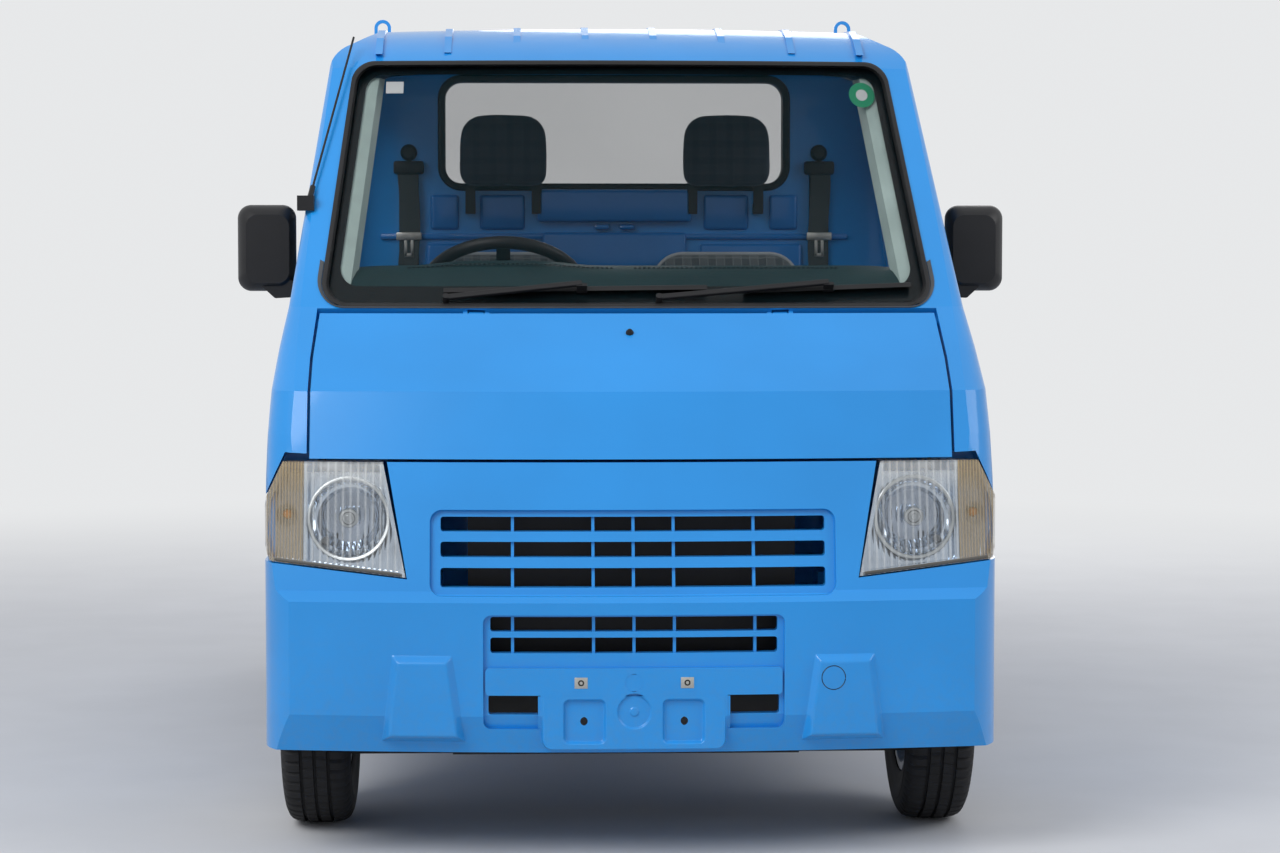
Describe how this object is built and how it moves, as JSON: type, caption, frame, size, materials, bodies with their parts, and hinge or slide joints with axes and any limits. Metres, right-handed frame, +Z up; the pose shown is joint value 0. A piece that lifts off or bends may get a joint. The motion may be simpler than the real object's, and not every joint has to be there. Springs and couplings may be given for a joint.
{
  "type": "kei truck",
  "caption": "Small cab-forward flatbed truck with a two-seat cab, drop sides, a tailgate and a guard frame behind the cab.",
  "frame": {"origin": "centre of the truck's footprint on the ground", "axes": "+Z up, -Y towards the front, +X towards the truck's left"},
  "size_m": [1.6906, 3.397, 1.7738],
  "materials": {
    "body": "sky blue gloss paint",
    "frame": "black chassis paint",
    "glass": "lightly tinted",
    "lens": "clear lens, slightly yellowed",
    "reflector": "bright reflector",
    "black_plastic": "grained black",
    "dash_plastic": "grained dark grey",
    "tyre": "road worn",
    "rim": "silver wheel paint",
    "steel": "dull steel",
    "iron": "cast",
    "seat": "dark checked cloth",
    "aluminium": "cast alloy",
    "lamp_red": "red and amber lens",
    "rubber": "black rubber"
  },
  "bodies": {
    "root": {"cab_shell": "body", "windscreen": "glass", "rear_window": "glass", "front_bumper": "body", "radiator": "black_plastic", "headlamp_left": "reflector", "headlamp_right": "reflector", "lamp_lens_left": "lens", "lamp_lens_right": "lens", "dashboard": "dash_plastic", "seat_cushions": "seat", "seat_backs": "seat", "headrests": "seat", "headrest_brackets": "frame", "steering_column": "black_plastic", "cab_controls": "black_plastic", "bed_deck": "body", "cab_guard": "body", "chassis_frame": "frame", "engine_block": "aluminium", "fuel_tank": "frame", "exhaust": "steel", "front_suspension": "iron", "rear_axle": "iron", "leaf_springs": "steel", "wipers": "black_plastic", "antenna": "black_plastic", "tail_lamps": "lamp_red", "rear_plate_holder": "body", "mud_guards": "rubber"},
    "bonnet": {"bonnet": "body"},
    "door_left": {"door_left": "body", "door_glass_left": "glass", "mirror_left": "black_plastic"},
    "door_right": {"door_right": "body", "door_glass_right": "glass", "mirror_right": "black_plastic"},
    "side_gate_left": {"side_gate_left": "body"},
    "side_gate_right": {"side_gate_right": "body"},
    "tailgate": {"tailgate": "body"},
    "knuckle_left": {"knuckle_left": "iron"},
    "knuckle_right": {"knuckle_right": "iron"},
    "steering_rack": {"steering_rack": "steel"},
    "steering_wheel": {"steering_wheel": "black_plastic"},
    "wheel_front_left": {"tyre_front_left": "tyre", "rim_front_left": "rim"},
    "wheel_front_right": {"tyre_front_right": "tyre", "rim_front_right": "rim"},
    "wheel_rear_left": {"tyre_rear_left": "tyre", "rim_rear_left": "rim"},
    "wheel_rear_right": {"tyre_rear_right": "tyre", "rim_rear_right": "rim"}
  },
  "joints": [
    {"name": "steer_left", "type": "hinge", "parent": "root", "child": "knuckle_left", "pos_m": [0.59, -1.1675, 0.16], "axis": [-0.1702, 0, 0.9854], "range_deg": [-33, 33]},
    {"name": "spin_front_left", "type": "hinge", "parent": "knuckle_left", "child": "wheel_front_left", "pos_m": [0.65, -1.1675, 0.271], "axis": [1, 0, 0], "continuous": true},
    {"name": "spin_rear_left", "type": "hinge", "parent": "root", "child": "wheel_rear_left", "pos_m": [0.645, 1.2525, 0.271], "axis": [1, 0, 0], "continuous": true},
    {"name": "steer_right", "type": "hinge", "parent": "root", "child": "knuckle_right", "pos_m": [-0.59, -1.1675, 0.16], "axis": [0.1702, 0, 0.9854], "range_deg": [-33, 33]},
    {"name": "spin_front_right", "type": "hinge", "parent": "knuckle_right", "child": "wheel_front_right", "pos_m": [-0.65, -1.1675, 0.271], "axis": [1, 0, 0], "continuous": true},
    {"name": "spin_rear_right", "type": "hinge", "parent": "root", "child": "wheel_rear_right", "pos_m": [-0.645, 1.2525, 0.271], "axis": [1, 0, 0], "continuous": true},
    {"name": "rack_slide", "type": "slide", "parent": "root", "child": "steering_rack", "axis": [1, 0, 0], "range_m": [-0.068, 0.068]},
    {"name": "steering_wheel_turn", "type": "hinge", "parent": "root", "child": "steering_wheel", "pos_m": [-0.261, -0.9275, 1.13], "axis": [0, 0.6157, 0.788], "range_deg": [-565, 565]},
    {"name": "door_left_open", "type": "hinge", "parent": "root", "child": "door_left", "pos_m": [0.7348, -1.0885, 0.6], "axis": [0.0576, 0, -0.9983], "range_deg": [0, 65]},
    {"name": "door_right_open", "type": "hinge", "parent": "root", "child": "door_right", "pos_m": [-0.7348, -1.0885, 0.6], "axis": [0.0576, 0, 0.9983], "range_deg": [0, 65]},
    {"name": "bonnet_open", "type": "hinge", "parent": "root", "child": "bonnet", "pos_m": [0, -1.3445, 1.086], "axis": [-1, 0, 0], "range_deg": [0, 40]},
    {"name": "side_gate_left_drop", "type": "hinge", "parent": "root", "child": "side_gate_left", "pos_m": [0.731, 0, 0.65], "axis": [0, 1, 0], "range_deg": [0, 180]},
    {"name": "side_gate_right_drop", "type": "hinge", "parent": "root", "child": "side_gate_right", "pos_m": [-0.731, 0, 0.65], "axis": [0, -1, 0], "range_deg": [0, 180]},
    {"name": "tailgate_drop", "type": "hinge", "parent": "root", "child": "tailgate", "pos_m": [0, 1.6935, 0.65], "axis": [-1, 0, 0], "range_deg": [0, 180]}
  ],
  "couplings": [
    {"joint": "steer_right", "follows": "steer_left", "ratio": 1},
    {"joint": "rack_slide", "follows": "steer_left", "m_per_rad": -0.11},
    {"joint": "steering_wheel_turn", "follows": "steer_left", "ratio": 17}
  ]
}
